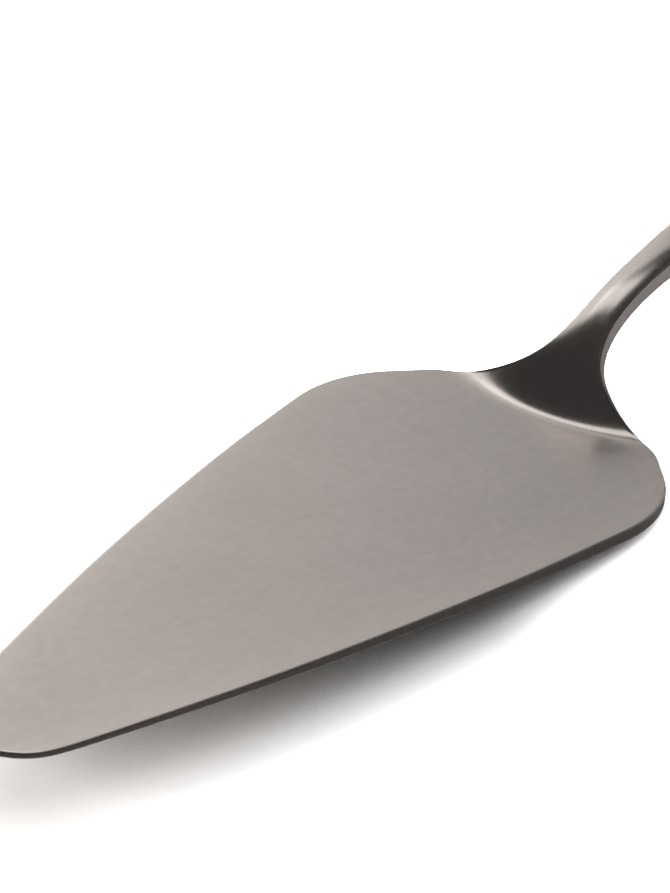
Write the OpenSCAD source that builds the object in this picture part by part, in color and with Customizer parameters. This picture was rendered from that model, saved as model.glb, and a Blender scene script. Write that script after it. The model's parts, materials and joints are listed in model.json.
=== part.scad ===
// A cake server at rest on a table: a forged blade whose neck sweeps up into a slim stem,
// brazed into a hollow handle of two pressed shells over a cast core. It rests on the heel
// of the blade and on the end of the handle, with the tip of the blade a little raised.
// Lengths run along X from the tip to the handle, the server is alike on both sides of Y = 0.

/* [Blade] */
// Length from the tip to the bend under the neck
blade_l = 127; // [110:1:150]
// Greatest width, across the shoulders
blade_w = 62; // [50:1:75]
// Thickness at the tip
tip_t = 0.9; // [0.7:0.05:1.2]
// Thickness at the heel
heel_t = 2.2; // [1.8:0.1:2.8]
// Depth of the rounding on the rim of the blade
edge_r = 0.9; // [0.3:0.05:1.1]
// How far the bend line bows towards the tip, at its middle
bend_bow = 4; // [0:0.25:6]

/* [Neck and stem] */
// Length from the bend to the mouth of the handle
neck_l = 45; // [38:1:60]
// Height of the top of the stem over the face of the blade
neck_rise = 18.5; // [14:0.5:23]
// Width of the stem at its waist
stem_w = 6.1; // [5:0.1:8]
// Thickness of the stem
stem_t = 3; // [2.2:0.1:3.3]
// Height of the dome across the stem
stem_crown = 0.5; // [0.1:0.05:0.8]
// Width of the bolster where the handle begins
mouth_w = 10; // [9:0.25:13]
// Height of the bolster's side
mouth_side = 3.8; // [3.4:0.1:5]

/* [Handle] */
// Length from the bolster to the end
handle_l = 92; // [80:1:110]
// Greatest width
handle_w = 19; // [16:0.5:24]
// Height of the side face where the handle is fullest
handle_side = 5.2; // [4.6:0.1:7]
// Height of the dome on top
handle_crown = 2.1; // [1:0.1:3]
// Depth of the rounded belly below
handle_belly = 1.6; // [0.8:0.1:2.4]
// Drop of the handle from its crest to its end
handle_drop = 4.6; // [2.5:0.1:7]
// Thickness of the pressed sheet
shell_t = 1; // [0.6:0.05:1.1]
// Radius of the handle's long edges
handle_edge_r = 0.35; // [0.2:0.05:0.5]

/* [Tang] */
// Length of the tang inside the handle
tang_l = 56; // [40:1:62]
// Width of the tang at its root
tang_w = 5; // [4:0.25:5.5]
// Width of the tang at its end
tang_tip_w = 3; // [2:0.25:4]
// Thickness of the tang
tang_t = 2; // [1.5:0.1:2.4]
// Length of the spigot that seats in the handle's mouth
spigot_l = 3; // [2:0.25:5]

/* [Hidden] */

// Fit between the spigot and the shells, and between the core and what it fills
fit_gap = 0.06;
// Width of the brazed seams, between the shells and at the bolster
seam_gap = 0.04;
// Half width of the small flat that ends the outline at the tip and at the handle's end
end_flat = 0.6;

// Blade's outline as control points: share of the length, of the half width and of the bow.
// The first row mirrors the third, so that the tip is round.
blade_shares = [
    [0.007, -0.129, 0], [-0.0035, 0, 0], [0.007, 0.129, 0], [0.0285, 0.258, 0],
    [0.078, 0.327, 0], [0.18, 0.448, 0], [0.337, 0.624, 0], [0.504, 0.776, 0],
    [0.672, 0.912, 0], [0.778, 0.968, 0.1], [0.845, 1.016, 0.3], [0.898, 0.981, 0.6],
    [0.943, 0.896, 0.85], [0.976, 0.765, 1], [0.993, 0.71, 1.03]
];

// Neck and stem as control points: share of the neck's length, of the way from the stem's
// width to the blade's, of the rise, of the bow, of the swell into the bolster, and of the
// stem's crown and thickness
neck_shares = [
    [0.016, 0.608, 0.002, 0.95, 0, 0], [0.048, 0.472, 0.011, 0.85, 0, 0.1],
    [0.08, 0.289, 0.133, 0.45, 0, 0.3], [0.118, 0.131, 0.293, 0.15, 0, 0.6],
    [0.177, 0.048, 0.435, 0.05, 0, 0.8], [0.272, 0.006, 0.59, 0.02, 0, 1],
    [0.388, -0.001, 0.733, 0, 0, 1], [0.509, 0, 0.83, 0, 0.01, 1],
    [0.642, 0, 0.906, 0, 0.06, 1], [0.789, 0, 0.963, 0, 0.32, 1]
];

// Handle as control points: share of its length, of its half width, of the drop, and of its
// depth. The last row mirrors the third from the end, so that the handle's end is round.
handle_shares = [
    [0.1055, 0.66, 0.005, 0.55], [0.235, 0.8, 0.02, 0.83], [0.39, 0.91, 0.11, 0.95],
    [0.545, 0.975, 0.27, 1], [0.69, 1, 0.46, 1], [0.81, 0.985, 0.65, 0.96],
    [0.9, 0.92, 0.8, 0.84], [0.96, 0.77, 0.91, 0.62], [0.993, 0.47, 0.975, 0.34],
    [1.003, 0, 1, 0.2], [0.993, -0.47, 0.975, 0.34]
];

// Share of its dome and belly that the handle keeps at its very end
end_form_share = 0.15;
// Depth of the rounding on the lower rim, as a share of the upper one's
low_edge_share = 0.95;
// Reach of a rim's rounding inwards, as a share of its depth
run_share = 2;
// Most that a rim's rounding may take of the thickness and of the half width
rim_share = 0.45;
// Bolster: its height as a share of the rise, its belly and its dome as shares of the handle's
mouth_rise_share = 0.985;
mouth_belly_share = 0.7;
mouth_crown_share = 0.6;

// One row holds the edge's place along X, half width, height, bow, swell of the side over
// the plate's thickness, crown, belly and edge radius
rows = concat(
    [for (s = blade_shares)
        [s[0]*blade_l, s[1]*blade_w/2, 0, s[2]*bend_bow, 0, 0, 0, edge_r]],
    [for (s = neck_shares)
        [blade_l + s[0]*neck_l,
         stem_w/2 + s[1]*(blade_w - stem_w)/2 + s[4]*(mouth_w - stem_w)/2,
         s[2]*neck_rise, s[3]*bend_bow,
         s[5]*(stem_t - heel_t) + s[4]*(mouth_side - stem_t),
         s[5]*stem_crown + s[4]*(mouth_crown_share*handle_crown - stem_crown),
         s[4]*mouth_belly_share*handle_belly,
         handle_edge_r + (1 - s[5])*(edge_r - handle_edge_r)]],
    [[blade_l + neck_l, mouth_w/2, mouth_rise_share*neck_rise, 0, mouth_side - heel_t,
      mouth_crown_share*handle_crown, mouth_belly_share*handle_belly, handle_edge_r]],
    [for (s = handle_shares)
        [blade_l + neck_l + s[0]*handle_l, s[1]*handle_w/2, neck_rise - s[2]*handle_drop,
         0, mouth_side - heel_t + s[3]*(handle_side - mouth_side),
         (end_form_share + (1 - end_form_share)*s[3])*handle_crown,
         (end_form_share + (1 - end_form_share)*s[3])*handle_belly, handle_edge_r]]
);

// Spline parameters of the tip, the bolster and the handle's end
joint_at = len(blade_shares) + len(neck_shares) - 1;
end_at = len(rows) - 3;

// Weights of a uniform cubic spline's four control rows, and of its slope
function weights(u) = [pow(1 - u, 3), 3*pow(u, 3) - 6*u*u + 4, -3*pow(u, 3) + 3*u*u + 3*u + 1,
                       pow(u, 3)]/6;
function slopes(u) = [-pow(1 - u, 2), 3*u*u - 4*u, -3*u*u + 2*u + 1, u*u]/2;
function span(at) = min(floor(at), end_at - 1);
function blend(w, i) = w[0]*rows[i] + w[1]*rows[i + 1] + w[2]*rows[i + 2] + w[3]*rows[i + 3];
function form(at) = blend(weights(at - span(at)), span(at));
function rate(at) = blend(slopes(at - span(at)), span(at));

// Thickness of the tapered plate at a distance from the tip
function plate(x) = tip_t + (heel_t - tip_t)*min(x/blade_l, 1);

// Angle by which the line of the server climbs at a place
function climb(at) = let (d = rate(at)) atan2(d[2], d[0] - d[3]);

// Plan normal of the outline where it closes towards the handle's end, else square to X
function plan_normal(at) =
    let (d = rate(at), n = norm([d[0], d[1]]))
    (at > joint_at && d[1] < 0) ? [-d[1]/n, d[0]/n] : [0, 1];

// Facets across the top and the belly of a section, on the blade and on the handle
blade_facets = [6, 4];
handle_facets = [10, 8];
// Degrees through which a rim's corner turns, above and below, and its facets
upper_turn = 60;
lower_turn = 45;
turn_facets = 2;

// Half width of what lies between the roundings of a section's rims
function inner_w(w, r) = w - run_share*r;

// Corner of a section as [across, up]: part of an ellipse that is r deep below h
function corner(w, h, r, from, to) =
    [for (k = [0:turn_facets]) let (a = from + (to - from)*k/turn_facets)
        [inner_w(w, r) + run_share*r*cos(a), h - r + r*sin(a)]];
function flip(points) = [for (k = [len(points) - 1:-1:0]) [-points[k][0], points[k][1]]];

// Upper half of a section, from the left seam over the top to the right seam.
// seam is the height at which it stops, below the edge.
function upper_path(w, crown, r, seam, facets) =
    let (side = concat(corner(w, 0, r, upper_turn, 0), [[w, -seam]]))
    concat(flip(side),
        [for (k = [0:facets]) let (u = 2*k/facets - 1) [u*inner_w(w, r), crown*(1 - u*u)]],
        side);

// Lower half, from the right seam under the belly to the left seam
function lower_path(w, depth, belly, r, seam, facets) =
    let (side = concat([[w, -seam]], corner(w, 2*r - depth, r, 0, -lower_turn)))
    concat(side,
        [for (k = [0:facets]) let (u = 1 - 2*k/facets)
            [u*inner_w(w, r), -depth - belly*(1 - u*u)]],
        flip(side));

// The sizes of the section at a place, moved in by an inset: [middle's x, top's z, half width,
// depth, crown, belly, radius, bow, climb, inset]
function station(at, inset) =
    let (f = form(at), n = plan_normal(at), w = f[1] - inset*n[1])
    let (depth = plate(f[0] - f[3]) + f[4] - 2*inset)
    let (r = min(f[7], rim_share*depth, rim_share*w))
    [f[0] - f[3] - inset*n[0], f[2], w, depth, f[5], f[6], r, f[3], climb(at), inset];

// A path's points in space. The middle of the station lies its bow nearer to the tip, and
// the plate thins with the distance from the tip.
function placed(path, s) =
    [for (p = path)
        let (x = s[0] + s[7]*pow(p[0]/s[2], 2))
        let (thin = (p[1] < 0) ? (plate(x) - plate(s[0]))*min(1, -p[1]/s[3]) : 0)
        let (h = p[1] - s[9] - thin)
        [x - h*sin(s[8]), p[0], s[1] + h*cos(s[8])]];

// Half rings end at the seam, half a gap short of the middle of the side
function upper_ring(at, inset, gap, facets) =
    let (s = station(at, inset))
    placed(upper_path(s[2], s[4], s[6], s[3]/2 - gap, facets[0]), s);
function lower_ring(at, inset, gap, facets) =
    let (s = station(at, inset))
    placed(lower_path(s[2], s[3], s[5], low_edge_share*s[6], s[3]/2 + gap, facets[1]), s);
function joined(upper, lower) = concat(upper, [for (k = [1:len(lower) - 2]) lower[k]]);
function ring(at, inset, facets) =
    joined(upper_ring(at, inset, 0, facets), lower_ring(at, inset, 0, facets));

// Places of the stations. The outline's round ends take closer ones.
tip_steps = 6;
tip_at = end_flat/rate(0)[1];
last_at = end_at + end_flat/rate(end_at)[1];
blade_stations = concat([for (k = [0:tip_steps - 1]) tip_at + (1 - tip_at)*k/tip_steps],
    [for (k = [0:3]) 1 + k/4],
    [for (at = [2:joint_at - 1]) for (k = [0:2]) at + k/3], [joint_at]);
handle_stations = concat([for (at = [joint_at:end_at - 3]) for (k = [0:1]) at + k/2],
    [for (k = [0:3]) end_at - 2 + k/4],
    [for (k = [0:tip_steps]) end_at - 1 + (last_at - end_at + 1)*k/tip_steps]);

// Closed solid through rings of equally many points, the first towards the tip. Each end is
// closed by a fan round the middle of its ring.
function centre(ring) = [for (p = ring) 1/len(ring)]*ring;
module loft(rings) {
    n = len(rings[0]);
    m = len(rings);
    polyhedron(
        points = concat([for (r = rings) for (p = r) p], [centre(rings[0]), centre(rings[m - 1])]),
        faces = concat(
            [for (k = [0:n - 1]) [m*n, (k + 1)%n, k]],
            [for (k = [0:n - 1]) [m*n + 1, (m - 1)*n + k, (m - 1)*n + (k + 1)%n]],
            [for (i = [0:m - 2]) for (k = [0:n - 1])
                let (a = i*n + k, b = i*n + (k + 1)%n) [a, b + n, a + n]],
            [for (i = [0:m - 2]) for (k = [0:n - 1])
                let (a = i*n + k, b = i*n + (k + 1)%n) [a, b, b + n]]));
}

// Open pressing between an outer and an inner run of paths: two skins, two rims, the ring
// face at the mouth, and the wall that closes the far end
module pressing(outer, inner) {
    n = len(outer[0]);
    m = len(outer);
    z = m*n;
    last = (m - 1)*n;
    polyhedron(
        points = concat([for (r = outer) for (p = r) p], [for (r = inner) for (p = r) p]),
        faces = concat(
            [for (i = [0:m - 2]) for (k = [0:n - 2])
                let (a = i*n + k) [a, a + n + 1, a + n]],
            [for (i = [0:m - 2]) for (k = [0:n - 2])
                let (a = i*n + k) [a, a + 1, a + n + 1]],
            [for (i = [0:m - 2]) for (k = [0:n - 2])
                let (a = z + i*n + k) [a, a + n, a + n + 1]],
            [for (i = [0:m - 2]) for (k = [0:n - 2])
                let (a = z + i*n + k) [a, a + n + 1, a + 1]],
            [for (i = [0:m - 2]) [i*n, z + i*n + n, z + i*n]],
            [for (i = [0:m - 2]) [i*n, i*n + n, z + i*n + n]],
            [for (i = [1:m - 1]) let (a = i*n - 1) [a, z + a + n, a + n]],
            [for (i = [1:m - 1]) let (a = i*n - 1) [a, z + a, z + a + n]],
            [for (k = [0:n - 2]) [k, z + k + 1, k + 1]],
            [for (k = [0:n - 2]) [k, z + k, z + k + 1]],
            [[for (k = [0:n - 1]) last + k]],
            [[for (k = [n - 1:-1:0]) z + last + k]],
            [[last, z + last + n - 1, z + last]],
            [[last, last + n - 1, z + last + n - 1]]));
}

// Rest pose: the line under the heel of the blade and under the end of the handle
heel_at = len(blade_shares) - 2;
heel_points = [for (at = [heel_at - 3:1/3:heel_at + 3])
    for (p = lower_ring(at, 0, 0, blade_facets)) [p[0], p[2]]];
end_points = [for (at = [end_at - 5:1/2:last_at])
    for (p = lower_ring(at, 0, 0, handle_facets)) [p[0], p[2]]];
rest_slope = max([for (h = heel_points)
    min([for (e = end_points) (e[1] - h[1])/(e[0] - h[0])])]);
rest_tilt = atan(rest_slope);
function rested(p) = [p[0]*cos(rest_tilt) + p[1]*sin(rest_tilt),
                      p[1]*cos(rest_tilt) - p[0]*sin(rest_tilt)];
table_z = min([for (h = heel_points) rested(h)[1]]);
front_x = min([for (p = ring(tip_at, 0, blade_facets)) rested([p[0], p[2]])[0]]);
back_x = max([for (p = ring(last_at, 0, handle_facets)) rested([p[0], p[2]])[0]]);

module at_rest() {
    translate([-(front_x + back_x)/2, 0, -table_z]) rotate([0, rest_tilt, 0]) children();
}

// Middle of the section at a place, and the line that the tang follows
function middle(at) =
    let (s = station(at, 0)) [s[0] + sin(s[8])*s[3]/2, 0, s[1] - cos(s[8])*s[3]/2];
tang_spans = 4;
tang_aim = middle(joint_at + tang_spans) - middle(joint_at);
tang_pitch = atan2(tang_aim[2], tang_aim[0]);

// Outline of the tang across its thickness, at a distance from the bolster
function tang_half(d) = (tang_w + (tang_tip_w - tang_w)*d/tang_l)/2;
function tang_ring(d) =
    let (w = tang_half(d), r = low_edge_share*handle_edge_r, half = tang_t/2)
    [for (p = joined(upper_path(w, 0, r, half, blade_facets[0]),
                     lower_path(w, tang_t, 0, r, half, blade_facets[1])))
        middle(joint_at) + [d*cos(tang_pitch) - (p[1] + half)*sin(tang_pitch), p[0],
                            d*sin(tang_pitch) + (p[1] + half)*cos(tang_pitch)]];

// The pocket that the tang leaves in the core
module tang_pocket() {
    half = tang_t/2 + fit_gap;
    far = tang_l + fit_gap;
    root_w = tang_half(0) + fit_gap;
    tip_w = tang_half(tang_l) + fit_gap;
    translate(middle(joint_at)) rotate([0, -tang_pitch, 0]) translate([0, 0, -half])
        linear_extrude(height = 2*half)
            polygon([[0, -root_w], [far, -tip_w], [far, tip_w], [0, root_w]]);
}

// Points of a ring moved along the server from the bolster
function pushed(points, d) =
    [for (p = points) p + d*[cos(climb(joint_at)), 0, sin(climb(joint_at))]];

// The shells' first ring stands off the bolster by the seam
function moved(points, at) = (at == joint_at) ? pushed(points, seam_gap) : points;

spigot_ring = ring(joint_at, shell_t + fit_gap, blade_facets);

// Forged blade, neck and stem with the bolster, its spigot and the tang
module blade() {
    at_rest() color("silver")
        loft(concat([for (at = blade_stations) ring(at, 0, blade_facets)],
            [spigot_ring, pushed(spigot_ring, spigot_l), tang_ring(spigot_l),
             tang_ring(tang_l)]));
}

// Upper pressing: the domed top with half of each side
module handle_upper_shell() {
    at_rest() color("gainsboro") pressing(
        [for (at = handle_stations) moved(upper_ring(at, 0, seam_gap/2, handle_facets), at)],
        [for (at = handle_stations)
            moved(upper_ring(at, shell_t, seam_gap/2, handle_facets), at)]);
}

// Lower pressing: the belly with the other half of each side
module handle_lower_shell() {
    at_rest() color("darkgray") pressing(
        [for (at = handle_stations) moved(lower_ring(at, 0, seam_gap/2, handle_facets), at)],
        [for (at = handle_stations)
            moved(lower_ring(at, shell_t, seam_gap/2, handle_facets), at)]);
}

// Cement core, cast into the shells and round the tang
module handle_core() {
    at_rest() color("tan") difference() {
        loft([for (at = handle_stations)
            let (r = ring(at, shell_t + fit_gap, blade_facets))
            (at == joint_at) ? pushed(r, spigot_l + fit_gap) : r]);
        tang_pocket();
    }
}

blade();
handle_upper_shell();
handle_lower_shell();
handle_core();
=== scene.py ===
import json
import math

import bmesh
import bpy
import numpy as np
from mathutils import Matrix


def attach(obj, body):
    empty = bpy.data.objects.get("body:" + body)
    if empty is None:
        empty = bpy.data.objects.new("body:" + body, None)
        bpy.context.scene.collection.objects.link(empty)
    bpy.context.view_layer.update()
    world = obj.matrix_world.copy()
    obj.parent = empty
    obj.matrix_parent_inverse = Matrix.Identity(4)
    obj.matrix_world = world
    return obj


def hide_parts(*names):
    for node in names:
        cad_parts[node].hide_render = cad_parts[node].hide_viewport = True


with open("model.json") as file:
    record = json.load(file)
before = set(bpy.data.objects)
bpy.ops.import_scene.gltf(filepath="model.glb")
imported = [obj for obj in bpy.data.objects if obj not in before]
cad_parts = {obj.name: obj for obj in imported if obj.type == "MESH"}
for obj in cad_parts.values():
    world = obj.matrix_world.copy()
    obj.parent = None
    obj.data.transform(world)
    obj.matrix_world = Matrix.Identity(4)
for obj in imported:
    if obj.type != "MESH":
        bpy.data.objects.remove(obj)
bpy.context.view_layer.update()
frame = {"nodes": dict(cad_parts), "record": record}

bpy.context.scene.view_settings.view_transform = "Standard"

# Blade
# One forging of stainless steel: the flat blade thins towards its tip, the neck sweeps up into
# a slim stem, and past the bolster a spigot and a tang run on inside the handle. It is brushed
# lengthwise, and its rims are eased by hand. Its colour has painted shade on the rims and a
# painted sheen along the border.
blade_length = 0.127
blade_width = 0.062
tip_thickness = 0.0009
heel_thickness = 0.00214
stem_thickness = 0.003
blade_rim_radius = 0.00035
bend_bow = 0.004
neck_length = 0.045
neck_rise = 0.0185
stem_width = 0.0061
stem_crown = 0.0005
mouth_width = 0.01
mouth_side = 0.0038
handle_length = 0.092
handle_width = 0.019
handle_side = 0.0052
handle_crown = 0.0021
handle_belly = 0.0016
handle_drop = 0.0046
handle_rim_radius = 0.00035
sheet_thickness = 0.001
fit_gap = 0.00006
seam_gap = 0.00004
tang_length = 0.056
tang_root_width = 0.005
tang_end_width = 0.003
tang_thickness = 0.002
spigot_length = 0.003
# How far the border's painted sheen reaches in from the outline, and where it fades at the heel.
border_reach = 0.005
border_fade = 0.015
weld_distance = 2e-7

# Control points as shares. Blade: length, half width, bow. Neck: length, way from the stem's
# width to the blade's, rise, bow, swell into the bolster, crown. Handle: length, half width,
# drop, depth. Both ends mirror a row, so that the tip and the handle's end are round.
blade_shares = np.array([
    [0.007, -0.129, 0], [-0.0035, 0, 0], [0.007, 0.129, 0], [0.0285, 0.258, 0],
    [0.078, 0.327, 0], [0.18, 0.448, 0], [0.337, 0.624, 0], [0.504, 0.776, 0],
    [0.672, 0.912, 0], [0.778, 0.968, 0.1], [0.845, 1.016, 0.3], [0.898, 0.981, 0.6],
    [0.943, 0.896, 0.85], [0.976, 0.765, 1], [0.993, 0.71, 1.03]])
neck_shares = np.array([
    [0.016, 0.608, 0.002, 0.95, 0, 0], [0.048, 0.472, 0.011, 0.85, 0, 0.1],
    [0.08, 0.289, 0.133, 0.45, 0, 0.3], [0.118, 0.131, 0.293, 0.15, 0, 0.6],
    [0.177, 0.048, 0.435, 0.05, 0, 0.8], [0.272, 0.006, 0.59, 0.02, 0, 1],
    [0.388, -0.001, 0.733, 0, 0, 1], [0.509, 0, 0.83, 0, 0.01, 1],
    [0.642, 0, 0.906, 0, 0.06, 1], [0.789, 0, 0.963, 0, 0.32, 1]])
handle_shares = np.array([
    [0.1055, 0.66, 0.005, 0.55], [0.235, 0.8, 0.02, 0.83], [0.39, 0.91, 0.11, 0.95],
    [0.545, 0.975, 0.27, 1], [0.69, 1, 0.46, 1], [0.81, 0.985, 0.65, 0.96],
    [0.9, 0.92, 0.8, 0.84], [0.96, 0.77, 0.91, 0.62], [0.993, 0.47, 0.975, 0.34],
    [1.003, 0, 1, 0.2], [0.993, -0.47, 0.975, 0.34]])
mouth_rise_share = 0.985
mouth_belly_share = 0.7
mouth_crown_share = 0.6
end_form_share = 0.15
lower_rim_share = 0.95
rim_share = 0.45
rim_run_share = 1.6
# These three shape the mask of the rims' painted shade.
back_from_share = 0.5
crown_fade_share = 0.07
least_mask_share = 0.5

# Counted in spans between control rows: how long the way out takes to turn straight across,
# how far on the tang aims, and where the rings change their spacing. Then points and rings.
turn_spans = 2
tang_aim_spans = 4
ring_ends = (0, 4, 8)
ring_counts = (121, 40, 260)
rim_points = 13
dome_points = 41
belly_points = 31


def control_rows():
    """Rows of the edge's place along X, half width, height, bow, swell of the side over the
    plate's thickness, crown, belly and rim radius: the shares times the sizes above."""
    def columns(count, *values):
        return np.stack([np.broadcast_to(v, count) for v in values], 1)
    b, n, h = blade_shares.T, neck_shares.T, handle_shares.T
    mouth_swell = mouth_side - heel_thickness
    mouth_x = blade_length + neck_length
    form = end_form_share + (1 - end_form_share)*h[3]
    return np.concatenate([
        columns(len(blade_shares), b[0]*blade_length, b[1]*blade_width/2, 0, b[2]*bend_bow,
                0, 0, 0, blade_rim_radius),
        columns(len(neck_shares), blade_length + n[0]*neck_length,
                stem_width/2 + n[1]*(blade_width - stem_width)/2
                + n[4]*(mouth_width - stem_width)/2,
                n[2]*neck_rise, n[3]*bend_bow,
                n[5]*(stem_thickness - heel_thickness) + n[4]*(mouth_side - stem_thickness),
                n[5]*stem_crown + n[4]*(mouth_crown_share*handle_crown - stem_crown),
                n[4]*mouth_belly_share*handle_belly,
                handle_rim_radius + (1 - n[5])*(blade_rim_radius - handle_rim_radius)),
        columns(1, mouth_x, mouth_width/2, mouth_rise_share*neck_rise, 0, mouth_swell,
                mouth_crown_share*handle_crown, mouth_belly_share*handle_belly,
                handle_rim_radius),
        columns(len(handle_shares), mouth_x + h[0]*handle_length, h[1]*handle_width/2,
                neck_rise - h[2]*handle_drop, 0,
                mouth_swell + h[3]*(handle_side - mouth_side), form*handle_crown,
                form*handle_belly, handle_rim_radius)])


rows = control_rows()
mouth_at = len(blade_shares) + len(neck_shares) - 1
end_at = len(rows) - 3
neck_at = len(blade_shares) - 3
across = np.array([[0.0, 1.0, 0.0]])


def spline(at):
    """Values and rates of the uniform cubic B-spline over the control rows: at a place counted
    in spans, four neighbouring rows are blended by the cubic weights of the fraction u, and by
    those weights' derivatives."""
    i = np.minimum(np.floor(at).astype(int), end_at - 1)
    u = (at - i)[:, None]
    weights = [(1 - u)**3/6, (3*u**3 - 6*u**2 + 4)/6, (-3*u**3 + 3*u**2 + 3*u + 1)/6, u**3/6]
    slopes = [-(1 - u)**2/2, (3*u**2 - 4*u)/2, (-3*u**2 + 2*u + 1)/2, u**2/2]
    return (sum(w*rows[i + k] for k, w in enumerate(weights)),
            sum(w*rows[i + k] for k, w in enumerate(slopes)))


def unit(vectors):
    """Vectors divided by their lengths."""
    return vectors/np.linalg.norm(vectors, axis=-1, keepdims=True)


def plate(x):
    """Thickness of the plate, which grows in proportion to the distance from the tip. The heel
    is 0.06 mm thinner than the CAD's, which keeps its sharper rims out of the table."""
    return tip_thickness + (heel_thickness - tip_thickness)*np.minimum(x/blade_length, 1)


def stations(at, inset=0.0):
    """What a section needs at each place, as columns: the edge on the +Y side, the way up
    (square to the server's line), the way out of the edge (up x tangent, but straight across
    on the neck), bow, depth, crown, belly, how far the outline faces back to the handle, rim
    radius, and by how much the plate thins across the bow. An inset moves the section in,
    parallel to itself."""
    value, rate = spline(at)
    x, w, z, bow, swell, crown, belly, radius = value.T[..., None]
    slope = np.arctan2(rate[:, 2:3], rate[:, 0:1] - rate[:, 3:4])
    up = np.hstack([-np.sin(slope), 0*slope, np.cos(slope)])
    place = at[:, None]
    round_end = np.clip((neck_at - place)/turn_spans, 0, 1) + np.clip(place - mouth_at, 0, 1)
    out = unit(round_end*unit(np.cross(up, rate[:, :3])) + (1 - round_end)*across)
    depth = plate(x) + swell - 2*inset
    back = -rate[:, 1:2]/np.hypot(rate[:, 0:1], rate[:, 1:2])
    back = np.clip((back - back_from_share)/(1 - back_from_share), 0, 1)
    back = back*np.clip((neck_at + turn_spans - place)/turn_spans, 0, 1)
    return dict(edge=np.hstack([x, w, z]) - inset*(out + up), up=up, out=out, bow=bow,
                depth=depth, crown=crown, belly=belly, back=back,
                radius=np.minimum(radius, rim_share*depth), thins=plate(x) - plate(x - bow))


def section(s, half, count, gap=0.0):
    """One half of the section at each station: from the left seam over the top to the right
    one ('upper'), or from the right seam under the belly to the left one ('lower'). It is a
    side, a quarter ellipse k*r*(1 - cos a), r*(1 - sin a) that ends tangent to the dome, the
    dome h*(1 - v^2) across the middle, and the same mirrored. Also gives the mask for the
    rims' painted shade and roughness: 1 on the side and cos a on the ellipse, less under a high
    crown and none where the outline faces back."""
    sign = 1 if half == "upper" else -1
    dome = s["crown"] if sign > 0 else s["belly"]
    radius = s["radius"]*(1 if sign > 0 else lower_rim_share)
    run = rim_run_share*radius
    inner = np.maximum(s["edge"][:, 1:2] - run, run)
    angle = math.pi/2 - np.arctan(2*dome*rim_run_share/inner)
    angle = angle*np.linspace(0, 1, rim_points)
    inward = np.hstack([0*radius, run*(1 - np.cos(angle))])
    drop = np.hstack([s["depth"]/2 - gap, radius*(1 - np.sin(angle))])
    height = -drop if sign > 0 else drop - s["depth"]
    rim = (s["edge"][:, None] - inward[..., None]*s["out"][:, None]
           + height[..., None]*s["up"][:, None])
    v = np.linspace(1, -1, count)[None, 1:-1]
    lift = (dome if sign > 0 else s["thins"] - dome)*(1 - v**2)
    start = rim[:, -1:]
    middle = np.stack([start[..., 0] - s["bow"]*(1 - v**2) + lift*s["up"][:, 0:1],
                       start[..., 1]*v,
                       start[..., 2] + lift*s["up"][:, 2:3]], -1)
    points = np.concatenate([rim, middle, rim[:, ::-1]*np.array([1, -1, 1])], 1)
    if sign < 0:
        points = points[:, ::-1]
    turned = np.hstack([1 + 0*radius, np.cos(angle)])
    fade = np.clip(1 - crown_fade_share*s["crown"]/stem_crown, least_mask_share, 1)
    turned = turned*fade*(1 - s["back"])
    shaded_dull_rim = np.hstack([turned, 0*middle[..., 0], turned[:, ::-1]])
    return points, shaded_dull_rim


def grain(points, middle):
    """UV of a grid of points: u is the length run along its middle column, and v the distance
    across from that column, counted on down the sides."""
    line = points[:, middle]
    run = np.append(0, np.cumsum(np.linalg.norm(np.diff(line, axis=0), axis=1)))
    girth = np.cumsum(np.linalg.norm(np.diff(points, axis=1), axis=2), 1)
    girth = np.hstack([np.zeros((len(points), 1)), girth])
    girth -= girth[:, middle:middle + 1]
    return np.stack([np.broadcast_to(run[:, None], girth.shape), girth], -1)


def grid_quads(n, m):
    """Corners of the quads between the n rows of m points."""
    i, j = np.meshgrid(np.arange(n - 1), np.arange(m - 1), indexing="ij")
    a = (i*m + j).ravel()
    return np.stack([a, a + m, a + m + 1, a + 1], 1)


serving_point = np.array([0.06, 0.004, 0])


def lying(points):
    """Points as the server lies on its heel and its handle's end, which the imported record's
    serving face tells: a turn about Y by its lean, and a shift of its point to its place."""
    face = frame["record"]["mounts"][0]
    lean = math.asin(face["axis"][0])
    turn = np.array([[math.cos(lean), 0, math.sin(lean)], [0, 1, 0],
                     [-math.sin(lean), 0, math.cos(lean)]])
    return (points - serving_point) @ turn.T + np.array(face["pos_m"])


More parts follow.
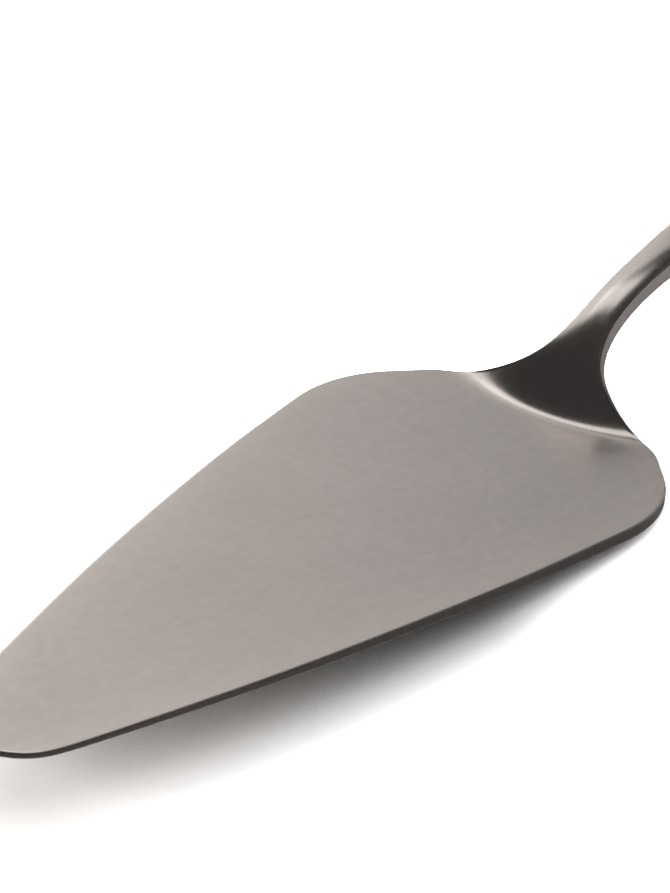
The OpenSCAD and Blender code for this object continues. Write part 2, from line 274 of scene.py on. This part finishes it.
def solid(name, grids, sharp=38):
    """A mesh object from grids of points, each with its UV and two masks: the rims' painted shade
    and the border's painted sheen. Doubles are welded, so that poles and the line where a ring
    closes are shut, and the normals are turned outwards."""
    points, faces, uv, shaded_dull_rim, painted_sheen, count = [], [], [], [], [], 0
    for grid, mapped, mask, border in grids:
        faces.append(grid_quads(*grid.shape[:2]) + count)
        count += grid.shape[0]*grid.shape[1]
        points.append(grid.reshape(-1, 3))
        uv.append(mapped.reshape(-1, 2))
        shaded_dull_rim.append(mask.ravel())
        painted_sheen.append(border.ravel())
    mesh = bpy.data.meshes.new(name)
    mesh.from_pydata(lying(np.concatenate(points)), [], np.concatenate(faces))
    corners = np.zeros(len(mesh.loops), np.int32)
    mesh.loops.foreach_get("vertex_index", corners)
    mesh.uv_layers.new(name="grain").data.foreach_set("uv", np.concatenate(uv)[corners].ravel())
    for mask_name, values in (("shaded_dull_rim", shaded_dull_rim), ("painted_sheen", painted_sheen)):
        attribute = mesh.attributes.new(mask_name, "FLOAT", "POINT")
        attribute.data.foreach_set("value", np.concatenate(values))
    work = bmesh.new()
    work.from_mesh(mesh)
    bmesh.ops.remove_doubles(work, verts=work.verts, dist=weld_distance)
    bmesh.ops.dissolve_degenerate(work, edges=work.edges, dist=weld_distance)
    bmesh.ops.recalc_face_normals(work, faces=work.faces)
    work.to_mesh(mesh)
    work.free()
    mesh.shade_smooth()
    mesh.set_sharp_from_angle(angle=math.radians(sharp))
    piece = bpy.data.objects.new(name, mesh)
    bpy.context.scene.collection.objects.link(piece)
    return piece


def closed(ring):
    """A grid with one more row, all of it at the middle of the last row, which caps the end."""
    middle = ring[-1:].mean(1, keepdims=True)
    return np.concatenate([ring, np.broadcast_to(middle, ring[-1:].shape)])


def forging():
    """Rings from the tip to the bolster, then the spigot, a section moved in by the sheet and
    its fit, then the tang, which tapers along the line to the middle of the handle. The border's
    painted sheen falls off as exp(-distance from the outline/reach), and fades out at the heel."""
    ends = (*ring_ends, mouth_at)
    at = np.concatenate([np.linspace(start, end, count)[:-1]
                         for start, end, count in zip(ends, ends[1:], ring_counts)]
                        + [np.array([float(mouth_at)])])
    mouth = stations(np.array([mouth_at, mouth_at + float(tang_aim_spans)]))
    middles = (mouth["edge"] - mouth["up"]*mouth["depth"]/2)*np.array([1, 0, 1])
    aim = unit(middles[1:] - middles[:1])
    up = np.cross(aim, across)
    flat = np.zeros((1, 1))

    def tang(d):
        width = tang_root_width + (tang_end_width - tang_root_width)*d/tang_length
        return dict(edge=middles[:1] + d*aim + up*tang_thickness/2 + across*width/2, up=up,
                    out=across, bow=flat, depth=flat + tang_thickness, crown=flat, belly=flat,
                    back=flat, radius=flat + lower_rim_share*handle_rim_radius, thins=flat)

    seat = stations(np.array([float(mouth_at)]), sheet_thickness + fit_gap)
    spigot = dict(seat, edge=seat["edge"] + spigot_length*np.cross(across, seat["up"]))
    parts = [stations(at), seat, spigot, tang(spigot_length), tang(tang_length)]
    s = {key: np.concatenate([part[key] for part in parts]) for key in seat}
    upper, upper_shaded_rim = section(s, "upper", dome_points)
    lower, lower_shaded_rim = section(s, "lower", belly_points)
    ring = closed(np.concatenate([upper, lower[:, 1:]], 1))
    shaded_dull_rim = np.concatenate([upper_shaded_rim, lower_shaded_rim[:, 1:]], 1)
    inside = np.minimum(s["edge"][:, 1:2] - abs(ring[:-1, :, 1]), ring[:-1, :, 0])
    # The border's painted sheen: paler colour near the outline.
    painted_sheen = np.exp(-np.maximum(inside, 0)/border_reach)
    painted_sheen = painted_sheen*np.clip((blade_length - ring[:-1, :, 0])/border_fade, 0, 1)
    return (ring, grain(ring, upper.shape[1]//2), np.concatenate([shaded_dull_rim, shaded_dull_rim[-1:]]),
            np.concatenate([painted_sheen, painted_sheen[-1:]]))


forged = solid("forged_blade", [forging()])


class Wire:
    """A socket in a node tree. Sums, differences, products and powers of wires and numbers add
    Math nodes."""

    def __init__(self, tree, socket):
        self.tree, self.socket = tree, socket

    def math(self, operation, first, second):
        return node(self.tree, "ShaderNodeMath", dict(operation=operation), {0: first, 1: second})

    def __add__(self, other): return self.math("ADD", self, other)
    def __radd__(self, other): return self.math("ADD", other, self)
    def __sub__(self, other): return self.math("SUBTRACT", self, other)
    def __rsub__(self, other): return self.math("SUBTRACT", other, self)
    def __mul__(self, other): return self.math("MULTIPLY", self, other)
    def __rmul__(self, other): return self.math("MULTIPLY", other, self)
    def __pow__(self, other): return self.math("POWER", self, other)


def node(tree, kind, settings, sockets, out=0):
    """A node of any kind, with its settings set first and then its sockets, from wires or plain
    values. Gives one output."""
    made = tree.nodes.new(kind)
    for name, value in settings.items():
        setattr(made, name, value)
    for name, value in sockets.items():
        if isinstance(value, Wire):
            tree.links.new(value.socket, made.inputs[name])
        else:
            made.inputs[name].default_value = value
    return Wire(tree, made.outputs[out]) if made.outputs else None


def brushed_steel(name, colour, polish):
    """Stainless steel brushed lengthwise: noise drawn out along the grain, fine and coarse,
    over a slow cloud from handling and a finer mottle. It shifts colour, roughness and a very
    shallow bump. The rims are rougher and carry painted shade, their colour darkened for the
    dark they mirror, and the border carries a painted sheen, its colour paler."""
    streak_contrast, cloud_contrast, mottle_contrast = 0.35, 0.1, 0.12
    streak_shade, painted_sheen_strength, rim_painted_shade, rim_sharpness = 0.12, 0.15, 0.94, 3
    streak_roughness, worn_roughness, rim_roughness = 0.12, 0.5, 0.35
    groove_depth, groove_strength, fine_share = 0.000012, 0.35, 0.6
    steel = bpy.data.materials.new(name)
    steel.use_nodes = True
    tree = steel.node_tree
    tree.nodes.clear()
    place = node(tree, "ShaderNodeUVMap", dict(uv_map="grain"), {})
    rim = node(tree, "ShaderNodeAttribute", dict(attribute_name="shaded_dull_rim"), {}, "Fac")
    border = node(tree, "ShaderNodeAttribute", dict(attribute_name="painted_sheen"), {}, "Fac")

    def drawn(per_metre_along, per_metre_across, detail, offset):
        stretched = node(tree, "ShaderNodeMapping", {}, {
            "Vector": place, "Location": offset, "Scale": (per_metre_along, per_metre_across, 1)})
        return node(tree, "ShaderNodeTexNoise", dict(noise_dimensions="2D"),
                    {"Vector": stretched, "Scale": 1, "Detail": detail, "Roughness": 0.6})

    fine = drawn(per_metre_along=140, per_metre_across=5200, detail=3, offset=(0, 0, 0))
    coarse = drawn(per_metre_along=60, per_metre_across=900, detail=3, offset=(3.1, 7.7, 0))
    cloud = drawn(per_metre_along=40, per_metre_across=46, detail=2, offset=(1.3, 2.9, 0))
    mottle = drawn(per_metre_along=420, per_metre_across=520, detail=3, offset=(5.3, 0.9, 0))
    streak = (fine - 0.5)*streak_contrast + (coarse - 0.5)*streak_contrast
    worn = (cloud - 0.5)*cloud_contrast + (mottle - 0.5)*mottle_contrast
    # Painted sheen: the border is made paler in colour, standing in for brighter reflection near
    # the outline.
    shade = 1 + streak*streak_shade + worn + border*painted_sheen_strength
    # Painted shade: the rims are darkened in colour, standing in for the dark table they mirror.
    shade = shade*(1 - rim**rim_sharpness*rim_painted_shade)
    tint = node(tree, "ShaderNodeMix", dict(data_type="RGBA", blend_type="MULTIPLY"),
                {0: 1.0, 6: colour, 7: node(tree, "ShaderNodeCombineColor", {},
                                            {0: shade, 1: shade, 2: shade})}, 2)
    roughness = polish + streak*streak_roughness + worn*worn_roughness + rim*rim_roughness
    bump = node(tree, "ShaderNodeBump", {}, {
        "Height": fine*fine_share + coarse*(1 - fine_share), "Strength": groove_strength,
        "Distance": groove_depth})
    surface = node(tree, "ShaderNodeBsdfPrincipled", {}, {
        "Base Color": tint, "Metallic": 1.0, "Roughness": roughness, "Normal": bump})
    node(tree, "ShaderNodeOutputMaterial", {}, {"Surface": surface})
    return steel


blade_colour = (0.68, 0.616, 0.573, 1)
blade_polish = 0.2
forged.data.materials.append(brushed_steel("brushed_blade_steel", blade_colour, blade_polish))
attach(forged, "root")
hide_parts("blade")

# Handle
# A hollow handle pressed from sheet steel in two halves, upper and lower, each an even millimetre
# thick. They are brazed along the sides and round the end, then polished over the seam.
handle_colour = (0.7, 0.64, 0.6, 1)
handle_polish = 0.2
shell_points = 41
end_spans = 2
shell_counts = (110, 90)


def pressing(half):
    """One half of the handle as a closed skin: the outer half sections, the same moved in by
    the sheet's thickness, and the ring face at the mouth. The rounds at the end close in a
    pole, where the left and right of each half section meet."""
    at = np.concatenate([np.linspace(mouth_at, end_at - end_spans, shell_counts[0])[:-1],
                         np.linspace(end_at - end_spans, end_at, shell_counts[1])])
    outer_s, inner_s = stations(at), stations(at, sheet_thickness)
    for s in (outer_s, inner_s):
        s["edge"][0] += seam_gap*np.cross(across[0], s["up"][0])
    outer, shaded_dull_rim = section(outer_s, half, shell_points, seam_gap/2)
    inner, _ = section(inner_s, half, shell_points, seam_gap/2)
    loop = np.concatenate([outer, inner[:, ::-1], outer[:, :1]], 1)
    # The mask of the rims' painted shade, none on the inner skin.
    mask = np.concatenate([shaded_dull_rim, 0*shaded_dull_rim, shaded_dull_rim[:, :1]], 1)
    mouth = np.stack([outer[0], inner[0]])
    return [(loop, grain(loop, outer.shape[1]//2), mask, 0*mask),
            (mouth, grain(mouth, mouth.shape[1]//2), 0*mouth[..., 0], 0*mouth[..., 0])]


handle_steel = brushed_steel("satin_handle_steel", handle_colour, handle_polish)
for half in ("upper", "lower"):
    shell = solid(f"pressed_{half}_shell", pressing(half))
    shell.data.materials.append(handle_steel)
    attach(shell, "root")
    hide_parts(f"handle_{half}_shell")

# Core
# Cement poured into the brazed shells, which holds the tang. It can't be seen in the finished
# server, and keeps the grey, gritty face of a cast filling.


def cast_cement():
    """Grey cement with a slow mottle, sharp grit and small pits, on Object coordinates."""
    mottle_scale, grit_scale = 160, 2600
    cement_tone, mottle_tone, grit_tone = 0.27, 0.22, 0.18
    green_share, blue_share = 0.97, 0.92
    driest_roughness, mottle_roughness = 0.9, 0.1
    grit_share, pit_strength, pit_depth = 0.5, 0.5, 0.0002
    cement = bpy.data.materials.new("cast_cement")
    cement.use_nodes = True
    tree = cement.node_tree
    tree.nodes.clear()
    place = node(tree, "ShaderNodeTexCoord", {}, {}, "Object")
    mottle = node(tree, "ShaderNodeTexNoise", {}, {
        "Vector": place, "Scale": mottle_scale, "Detail": 4})
    grit = node(tree, "ShaderNodeTexNoise", {}, {
        "Vector": place, "Scale": grit_scale, "Detail": 2})
    shade = cement_tone + mottle*mottle_tone + (grit - 0.5)*grit_tone
    colour = node(tree, "ShaderNodeCombineColor", {}, {
        0: shade, 1: shade*green_share, 2: shade*blue_share})
    bump = node(tree, "ShaderNodeBump", {}, {
        "Height": grit*grit_share + mottle, "Strength": pit_strength, "Distance": pit_depth})
    surface = node(tree, "ShaderNodeBsdfPrincipled", {}, {
        "Base Color": colour, "Roughness": driest_roughness - mottle*mottle_roughness,
        "Normal": bump})
    node(tree, "ShaderNodeOutputMaterial", {}, {"Surface": surface})
    return cement


core = frame["nodes"]["handle_core"]
core.data.materials.clear()
core.data.materials.append(cast_cement())

# Table
# A white table that runs on into a white background. It keeps the server's shadow, which a
# painted shadow from ambient occlusion deepens close to the steel, and painted light makes the
# camera see it brightest past the heel.
table_reach = 4.0
table_colour = 0.5
table_gain = 3.55
# The next two paint light onto the table past the heel.
table_far_rise = 2.6
table_far_ends = (-0.06, -0.012)
table_white_ends = (0.4, 1.1)
# The next two paint a deeper shadow near the server by ambient occlusion.
shadow_reach = 0.014
shadow_depth = 1.3
shadow_samples = 4


def step(tree, value, ends):
    """A smooth step from 0 to 1 as the value goes from one end to the other."""
    return node(tree, "ShaderNodeMapRange", dict(interpolation_type="SMOOTHSTEP"), {
        "Value": value, "From Min": ends[0], "From Max": ends[1], "To Min": 0, "To Max": 1})


def white_table():
    """A plain grey to the light. To camera and mirrored rays it is that grey times a gain and
    the open share of its sky, to the power of the shadow's depth, which paints shadow near the
    server. To the camera the gain rises past the heel as painted light, and far out the table
    gives way to plain white."""
    white = bpy.data.materials.new("white_table")
    white.use_nodes = True
    tree = white.node_tree
    tree.nodes.clear()
    ray = tree.nodes.new("ShaderNodeLightPath")
    by_camera = Wire(tree, ray.outputs["Is Camera Ray"])
    seen = by_camera.math("MAXIMUM", by_camera, Wire(tree, ray.outputs["Is Glossy Ray"]))
    seen = seen.math("MAXIMUM", seen, Wire(tree, ray.outputs["Is Transmission Ray"]))
    open_share = node(tree, "ShaderNodeAmbientOcclusion", dict(samples=shadow_samples),
                      {"Distance": shadow_reach}, "AO")
    place = node(tree, "ShaderNodeTexCoord", {}, {}, "Object")
    painted_light_past_heel = step(tree, node(tree, "ShaderNodeSeparateXYZ", {}, {0: place}, 0), table_far_ends)
    gain = (1 + painted_light_past_heel*by_camera*table_far_rise)*table_gain
    tone = table_colour*(1 + seen*(open_share**shadow_depth*gain - 1))
    lit = node(tree, "ShaderNodeBsdfDiffuse", {}, {
        "Color": node(tree, "ShaderNodeCombineColor", {}, {0: tone, 1: tone, 2: tone})})
    distance = node(tree, "ShaderNodeVectorMath", dict(operation="LENGTH"), {0: place}, "Value")
    background = node(tree, "ShaderNodeEmission", {}, {"Color": (1, 1, 1, 1), "Strength": 1})
    surface = node(tree, "ShaderNodeMixShader", {}, {
        0: step(tree, distance, table_white_ends)*by_camera, 1: lit, 2: background})
    node(tree, "ShaderNodeOutputMaterial", {}, {"Surface": surface})
    return white


table_mesh = bpy.data.meshes.new("table")
table_mesh.from_pydata([(-table_reach, -table_reach, 0), (table_reach, -table_reach, 0),
                        (table_reach, table_reach, 0), (-table_reach, table_reach, 0)],
                       [], [(0, 1, 2, 3)])
table_mesh.materials.append(white_table())
table = bpy.data.objects.new("table", table_mesh)
bpy.context.scene.collection.objects.link(table)

# Walls
# The steel mirrors pale walls on the handle's side of the room. They are brighter to the left
# and higher up, the ceiling on the near side is dark, and the camera sees white instead.
wall_radiance = 0.505
wall_side_rise = 1.46
wall_side_middle = 0.5
wall_height_rise = 0.44
wall_height_middle = 0.45
wall_least = 0.36
wall_near_ends = (-0.6, 0.05)
ceiling_near_ends = (0.26, 0.42)
ceiling_starts = (0.62, 0.72)
wall_most = 0.95
wall_glow = 0.3
wall_glow_ends = (0.5, 0.8)
wall_ends = (0.1, 0.24)
wall_top_ends = (0.66, 0.78)
room_radiance = 0.041


def studio_walls():
    """A world whose radiance is worked out from the ray's direction: linear in Y and Z with a
    glow high up, kept between a least and a most value, dark near the camera and overhead,
    and mixed into the dim room away from the walls."""
    studio = bpy.data.worlds.new("studio")
    studio.use_nodes = True
    tree = studio.node_tree
    tree.nodes.clear()
    way = node(tree, "ShaderNodeTexCoord", {}, {}, "Generated")
    x, y, z = (node(tree, "ShaderNodeSeparateXYZ", {}, {0: way}, name) for name in "XYZ")
    wall = wall_radiance + (y - wall_side_middle)*wall_side_rise
    wall = wall + (z - wall_height_middle)*wall_height_rise
    wall = wall + step(tree, z, wall_glow_ends)*wall_glow
    wall = wall.math("MAXIMUM", wall, wall_least)
    wall = wall*step(tree, y, wall_near_ends)
    ceiling = step(tree, z, ceiling_starts)*(1 - step(tree, y, ceiling_near_ends))
    wall = wall*(1 - ceiling)
    wall = wall.math("MINIMUM", wall, wall_most)
    share = step(tree, x, wall_ends)*(1 - step(tree, z, wall_top_ends))
    wall = wall*share + (1 - share)*room_radiance
    ray = tree.nodes.new("ShaderNodeLightPath")
    by_camera = Wire(tree, ray.outputs["Is Camera Ray"])
    surface = node(tree, "ShaderNodeBackground", {}, {
        "Color": (1, 1, 1, 1), "Strength": by_camera + (1 - by_camera)*wall})
    node(tree, "ShaderNodeOutputWorld", {}, {"Surface": surface})
    return studio


bpy.context.scene.world = studio_walls()

# Lamps
# A soft box hangs level over the handle's side, and the stem mirrors it as its highlight. A low
# panel on the left and one on the right light the table, hidden from the steel.
box_height = 0.9
box_nearest = (0.2, 0.12)
box_farthest = (0.57, 0.85)
box_radiance = 1.0
panel_distance = 1.6

# Name, degrees round from +X, degrees up from the table, radiance.
panels = [("left_panel", (140, 210), (10, 40), 5.8), ("right_panel", (-35, 15), (6, 30), 9.2)]


def area_lamp(name, place, turn, size, radiance, shown):
    """A plain rectangular lamp of one radiance, which shines along its own -Z. The steel shows
    it or doesn't."""
    light = bpy.data.lights.new(name, "AREA")
    light.shape = "RECTANGLE"
    light.size, light.size_y = size
    light.energy = radiance*math.pi*size[0]*size[1]
    lamp = bpy.data.objects.new(name, light)
    lamp.matrix_world = Matrix.Translation(place) @ turn
    lamp.visible_glossy = shown
    bpy.context.scene.collection.objects.link(lamp)


box_middle = [(near + far)/2 for near, far in zip(box_nearest, box_farthest)]
box_size = [far - near for near, far in zip(box_nearest, box_farthest)]
area_lamp("softbox", (*box_middle, box_height), Matrix.Identity(4), box_size, box_radiance, True)
for name, around, rises, radiance in panels:
    middle, spread = math.radians(sum(around)/2), math.radians(around[1] - around[0])
    low, high = (panel_distance*math.tan(math.radians(rise)) for rise in rises)
    facing = Matrix.Rotation(middle + math.pi/2, 4, "Z") @ Matrix.Rotation(math.pi/2, 4, "X")
    place = (panel_distance*math.cos(middle), panel_distance*math.sin(middle), (low + high)/2)
    size = (2*panel_distance*math.tan(spread/2), high - low)
    area_lamp(name, place, facing, size, radiance, False)

# Camera
# It looks down on the blade from the tip's side. Place, turn and lens come from a fit to the
# photographed outline.
camera_place = (-0.342424, -0.22106, 0.2408)
camera_heading = math.radians(37.8704)
camera_down = math.radians(31.4269)
camera_roll = math.radians(0.2353)
focal_pixels = 3000
picture_height_pixels = 893
sensor_height = 36
camera = bpy.data.cameras.new("camera")
camera.sensor_fit = "VERTICAL"
camera.sensor_height = sensor_height
camera.lens = sensor_height*focal_pixels/picture_height_pixels
eye = bpy.data.objects.new("camera", camera)
eye.matrix_world = (Matrix.Translation(camera_place)
                    @ Matrix.Rotation(camera_heading - math.pi/2, 4, "Z")
                    @ Matrix.Rotation(math.pi/2 - camera_down, 4, "X")
                    @ Matrix.Rotation(camera_roll, 4, "Z"))
bpy.context.scene.collection.objects.link(eye)
bpy.context.scene.camera = eye
